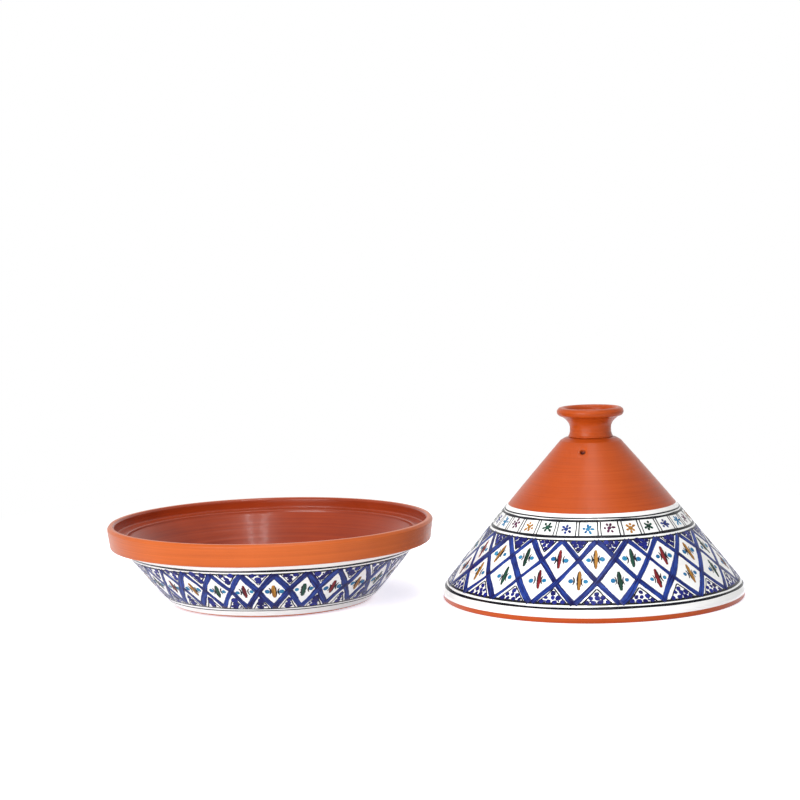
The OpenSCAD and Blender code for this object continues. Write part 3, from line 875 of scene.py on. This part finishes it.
def paintLid(paints):
    # two rows of diamonds a half pitch apart, triangles at the borders, and the ring of flowers
    sheet = Sheet(coneRadius, lid, lid["look"])
    look = lidPaint
    n, pitch = look["count"], 2 * math.pi / look["count"]
    firstZ, secondZ = (look["top"] + (look["bottom"] - look["top"]) * (k / look["rows"]) ** look["sag"]
                       for k in (1, 2))
    centres = look["phase"] + pitch * (np.arange(n) - n // 2)
    bands = lattice(sheet, look)
    upper, upperLines = berries(sheet, {**look, "berry": look["berry"] * look["berryUpper"]},
                                look["top"], firstZ, centres + pitch / 2)
    lower, lowerLines = berries(sheet, look, look["bottom"], secondZ, centres)
    high, highDark, highBlue = motifs(sheet, look, centres, firstZ, -(n // 2))
    low, lowDark, lowBlue = motifs(sheet, look, centres + pitch / 2 + look["lowShift"],
                                   secondZ, 1 - n // 2)
    uprights, flowers = frieze(sheet, friezePaint)
    lines = circles(sheet, *zip(*look["lines"]))
    layers = [(paints[c], high[c] + low[c]) for c in look["cycle"]]
    paintPiece("lid_lattice_paint", [(paints["cobalt"], bands)], "lid")
    paintPiece("lid_berry_paint", [(paints["navy"], upper + lower)], "lid")
    paintPiece("lid_line_paint", [(paints["black"], [lines, *upperLines, *lowerLines, *uprights])],
               "lid")
    paintPiece("lid_motif_paint", [*layers, (paints["black"], highDark + lowDark),
                                   (paints["turquoise"], highBlue + lowBlue)], "lid")
    paintPiece("lid_flower_paint", [(paints[c], flowers[c]) for c in flowers], "lid")


dishClay = terracotta("wheel-thrown terracotta, dish", "#cf672e", "#c15d27", "#ad4f20")
lidClay = terracotta("wheel-thrown terracotta, lid", "#c0531b", "#b44914", "#a03e0f")
clearGlaze = clearGlazed("clear glaze on terracotta", "#a43d17", "#892e0f")
dishWhite = whiteGlaze("tin-white glaze, dish", "#fafaf9", "#f3efec")
lidWhite = whiteGlaze("tin-white glaze, lid", "#fafaf9", "#f3efec")
paints = {
    "cobalt": brushColour("cobalt blue underglaze", "#3054b8", "#110f48", 0.85),
    "navy": brushColour("cobalt blue underglaze, thick", "#2d3aa6", "#100e4c", 0.8),
    "black": brushColour("manganese black line", "#23262f", "#0d0e14", 0.6),
    "turquoise": brushColour("copper turquoise", "#3a9cc0", "#15588f"),
    "ochre": brushColour("iron ochre", "#c8903c", "#85500f"),
    "green": brushColour("copper green", "#2f6450", "#0f281e", 0.8),
    "maroon": brushColour("iron red", "#9a2a30", "#4a0f16"),
    "plum": brushColour("manganese plum", "#78305e", "#3a1030", 0.8),
}

makeDish(dishClay, clearGlaze, dishWhite)
makeLid(lidClay, lidWhite)
makeKnob(lidClay)
paintDish(paints)
paintLid(paints)


studio = {
    "floorSize": 12.0, "floorColour": "#efefef", "floorLift": 0.74, "shade": "#f6f5ff",
    "fadeFrom": 0.42, "fadeTo": 0.85, "floorDrop": 0.2,
    "middle": (0.15, 0.0, 0.0), "aim": (0.15, 0.0, 0.08), "world": 0.31,
}
softboxes = {                                              # place and size in metres, power in watts
    "key_softbox": ((-1.1, -1.9, 0.75), (1.2, 1.2), 39.5),
    "low_softbox": ((-0.35, -2.2, 0.12), (1.4, 0.2), 7.0),
    "fill_softbox": ((1.9, -1.2, 0.9), (1.2, 1.2), 1.5),
    "top_softbox": ((0.15, 0.3, 1.9), (1.6, 1.2), 10.0),
}
streakBoxes = {"x": 0.32, "apart": 0.34, "y": -0.69, "z": 1.77, "aim": (0.32, -0.05, 0.12),
               "size": (0.05, 1.0), "power": 4.2}
camera = {
    "at": (132.2, -1979.9, 369.75), "lens": 90.0,
    "down": math.radians(4.98), "tilt": math.radians(-1.43),
}


def seenDirectly(tree):
    # 1 for rays from the camera, from reflections and through clear things; 0 for the light they get
    ray = addNode(tree, "ShaderNodeLightPath")
    either = addNode(tree, "ShaderNodeMath", {"operation": "MAXIMUM"},
                     {0: ray.outputs["Is Camera Ray"], 1: ray.outputs["Is Glossy Ray"]})
    return addNode(tree, "ShaderNodeMath", {"operation": "MAXIMUM"},
                   {0: either.outputs[0], 1: ray.outputs["Is Transmission Ray"]}).outputs[0]


def makeFloor():
    # matte paper, lifted to white where only the camera and clear reflections see it
    material, tree = newMaterial("white studio paper")
    paper = addNode(tree, "ShaderNodeBsdfDiffuse", {"Color": toLinear(studio["floorColour"])})
    glow = addNode(tree, "ShaderNodeEmission",
                   {"Color": toLinear(studio["shade"]), "Strength": studio["floorLift"]})
    both = addNode(tree, "ShaderNodeAddShader", links={0: paper.outputs[0], 1: glow.outputs[0]})
    # away from the pots the paper blends to even white
    place = addNode(tree, "ShaderNodeTexCoord").outputs["Object"]
    away = addNode(tree, "ShaderNodeVectorMath", {"operation": "DISTANCE", 1: studio["middle"]},
                   {0: place})
    fade = addNode(tree, "ShaderNodeMapRange",
                   {"interpolation_type": "SMOOTHSTEP",
                    "From Min": studio["fadeFrom"], "From Max": studio["fadeTo"]},
                   {"Value": away.outputs["Value"]})
    plain = addNode(tree, "ShaderNodeEmission", {"Color": (1, 1, 1, 1), "Strength": 1.0})
    near = addNode(tree, "ShaderNodeMixShader",
                   links={0: fade.outputs[0], 1: both.outputs[0], 2: plain.outputs[0]})
    mix = addNode(tree, "ShaderNodeMixShader",
                  links={0: seenDirectly(tree), 1: paper.outputs[0], 2: near.outputs[0]})
    addNode(tree, "ShaderNodeOutputMaterial", links={"Surface": mix.outputs[0]})
    half = studio["floorSize"] / mm / 2
    corners = np.array([[-half, -half], [half, -half], [half, half], [-half, half]])
    corners = np.c_[corners, np.full(4, -studio["floorDrop"])]
    makeMesh("studio_floor", corners, [np.array([[0, 1, 2, 3]])], materials=[material])


def areaLight(name, at, aim, size, power):
    # a flat box of light, turned to face the point it is aimed at
    lamp = bpy.data.lights.new(name, "AREA")
    lamp.shape, lamp.size, lamp.size_y, lamp.energy = "RECTANGLE", size[0], size[1], power
    holder = bpy.data.objects.new(name, lamp)
    bpy.context.scene.collection.objects.link(holder)
    holder.location = at
    way = np.array(aim) - np.array(at)
    yaw, pitch = math.atan2(way[1], way[0]) - math.pi / 2, math.atan2(way[2], math.hypot(way[0], way[1]))
    holder.rotation_euler = (pitch + math.pi / 2, 0, yaw)


def makeWorld():
    # even white to look at, and a dimmer white as light on the pots
    world = bpy.data.worlds.new("studio")
    bpy.context.scene.world = world
    world.use_nodes = True
    tree = world.node_tree
    tree.nodes.clear()
    level = addNode(tree, "ShaderNodeMapRange", {"To Min": studio["world"], "To Max": 1.0},
                    {"Value": seenDirectly(tree)})
    back = addNode(tree, "ShaderNodeBackground", {"Color": (1, 1, 1, 1)}, {"Strength": level.outputs[0]})
    addNode(tree, "ShaderNodeOutputWorld", links={"Surface": back.outputs[0]})


def makeCamera():
    # looks along +Y, pitched down, then turned about its own line of sight
    optics = bpy.data.cameras.new("camera")
    optics.lens, optics.sensor_width = camera["lens"], 36.0
    viewer = bpy.data.objects.new("camera", optics)
    bpy.context.scene.collection.objects.link(viewer)
    viewer.location = np.array(camera["at"]) * mm
    pitched = Matrix.Rotation(math.pi / 2 - camera["down"], 4, "X")
    viewer.rotation_euler = (pitched @ Matrix.Rotation(camera["tilt"], 4, "Z")).to_euler()
    bpy.context.scene.camera = viewer


makeFloor()
makeWorld()
for name, (at, size, power) in softboxes.items():
    areaLight(name, at, studio["aim"], size, power)
# two narrow boxes high in front of the lid leave soft upright streaks on the cone
for side in (-1, 1):
    at = (streakBoxes["x"] + side * streakBoxes["apart"] / 2, streakBoxes["y"], streakBoxes["z"])
    areaLight(f"streak_softbox_{side}", at, streakBoxes["aim"], streakBoxes["size"], streakBoxes["power"])
makeCamera()
bpy.context.scene.view_settings.view_transform = "Standard"
print("floor, lights and camera set")
